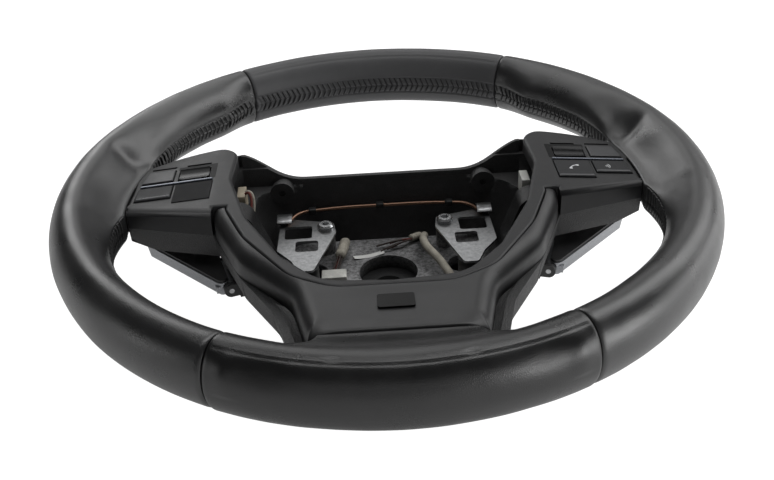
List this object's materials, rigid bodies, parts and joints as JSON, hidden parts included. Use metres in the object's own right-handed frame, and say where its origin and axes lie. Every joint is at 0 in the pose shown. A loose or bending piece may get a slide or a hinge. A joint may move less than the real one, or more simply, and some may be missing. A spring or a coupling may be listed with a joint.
{
  "type": "car steering wheel",
  "caption": "Leather-covered car steering wheel with switch panels on its side spokes, shift paddles behind them and an open airbag seat in its hub.",
  "frame": {"origin": "on the column axis, in the plane of the rear collar on which the wheel lies", "axes": "+Z along the column axis towards the driver, +Y to 12 o'clock, +X to the driver's right"},
  "size_m": [0.376, 0.376, 0.1075],
  "materials": {
    "leather": "smooth black leather with a soft sheen",
    "cast_alloy": "dull grey casting",
    "cover_plastic": "grained black moulding",
    "panel_plastic": "satin black moulding",
    "trim_plastic": "satin black lacquer",
    "plate_gloss": "gloss black",
    "key_plastic": "dark grey soft touch",
    "bar_silver": "dark bluish silver",
    "zinc_plate": "bright zinc plating",
    "bright_steel": "bright steel",
    "paddle_silver": "satin silver paint",
    "paddle_black": "satin black",
    "board": "green circuit board",
    "mat_rubber": "soft switch mat",
    "beige_tape": "beige cloth tape",
    "dark_lead": "dark wire",
    "plug_plastic": "tan plug moulding"
  },
  "bodies": {
    "wheel": {"rim_grip_top": "leather", "rim_grip_bottom": "leather", "rim_grip_left": "leather", "rim_grip_right": "leather", "armature": "cast_alloy", "rear_cover": "cover_plastic", "paddle_housing_left": "cover_plastic", "paddle_housing_right": "cover_plastic", "switch_module_left": "cover_plastic", "switch_module_right": "cover_plastic", "paddle_switch_left": "cover_plastic", "paddle_switch_right": "cover_plastic", "switch_carrier": "panel_plastic", "filler_left": "panel_plastic", "lower_trim": "trim_plastic", "trim_plate": "plate_gloss", "divider_bar_left": "bar_silver", "divider_bar_right": "bar_silver", "airbag_bracket_left": "zinc_plate", "airbag_bracket_right": "zinc_plate", "bracket_screw_left": "bright_steel", "bracket_screw_right": "bright_steel", "paddle_pin_left": "bright_steel", "paddle_pin_right": "bright_steel", "release_spring": "bright_steel", "switch_board_left": "board", "switch_board_right": "board", "dome_mat_left": "mat_rubber", "dome_mat_right": "mat_rubber", "taped_sleeve": "beige_tape", "pale_lead": "beige_tape", "dark_lead": "dark_lead", "connector": "plug_plastic", "wall_plug_left": "plug_plastic", "wall_plug_right": "plug_plastic"},
    "paddle_left": {"paddle_body_left": "paddle_silver", "paddle_pad_left": "paddle_black"},
    "key_upper_left": {"key_upper_left": "key_plastic"},
    "key_lower_left": {"key_lower_left": "key_plastic"},
    "rocker_left": {"rocker_left": "plate_gloss"},
    "paddle_right": {"paddle_body_right": "paddle_silver", "paddle_pad_right": "paddle_black"},
    "key_upper_right": {"key_upper_right": "key_plastic"},
    "key_lower_right": {"key_lower_right": "key_plastic"},
    "key_inner_right": {"key_inner_right": "key_plastic"},
    "rocker_right": {"rocker_right": "plate_gloss"}
  },
  "joints": [
    {"name": "paddle_left_pull", "type": "hinge", "parent": "wheel", "child": "paddle_left", "pos_m": [-0.0945, -0.025, 0.051], "axis": [-0.2974, 0.9548, 0], "range_deg": [0, 6], "stiffness_Nm_per_rad": 2},
    {"name": "key_upper_left_press", "type": "slide", "parent": "wheel", "child": "key_upper_left", "axis": [0.0862, 0, -0.9963], "range_m": [0, 0.001], "stiffness_N_per_m": 1500},
    {"name": "key_lower_left_press", "type": "slide", "parent": "wheel", "child": "key_lower_left", "axis": [0.0862, 0, -0.9963], "range_m": [0, 0.001], "stiffness_N_per_m": 1500},
    {"name": "rocker_left_tilt", "type": "hinge", "parent": "wheel", "child": "rocker_left", "pos_m": [-0.11257, 0.0256, 0.08784], "axis": [0.9963, 0, 0.0862], "range_deg": [-5, 5], "stiffness_Nm_per_rad": 0.15},
    {"name": "paddle_right_pull", "type": "hinge", "parent": "wheel", "child": "paddle_right", "pos_m": [0.0945, -0.025, 0.051], "axis": [-0.2974, -0.9548, 0], "range_deg": [0, 6], "stiffness_Nm_per_rad": 2},
    {"name": "key_upper_right_press", "type": "slide", "parent": "wheel", "child": "key_upper_right", "axis": [-0.0862, 0, -0.9963], "range_m": [0, 0.001], "stiffness_N_per_m": 1500},
    {"name": "key_lower_right_press", "type": "slide", "parent": "wheel", "child": "key_lower_right", "axis": [-0.0862, 0, -0.9963], "range_m": [0, 0.001], "stiffness_N_per_m": 1500},
    {"name": "key_inner_right_press", "type": "slide", "parent": "wheel", "child": "key_inner_right", "axis": [-0.0862, 0, -0.9963], "range_m": [0, 0.001], "stiffness_N_per_m": 1500},
    {"name": "rocker_right_tilt", "type": "hinge", "parent": "wheel", "child": "rocker_right", "pos_m": [0.11257, 0.0256, 0.08784], "axis": [0.9963, 0, -0.0862], "range_deg": [-5, 5], "stiffness_Nm_per_rad": 0.15}
  ]
}
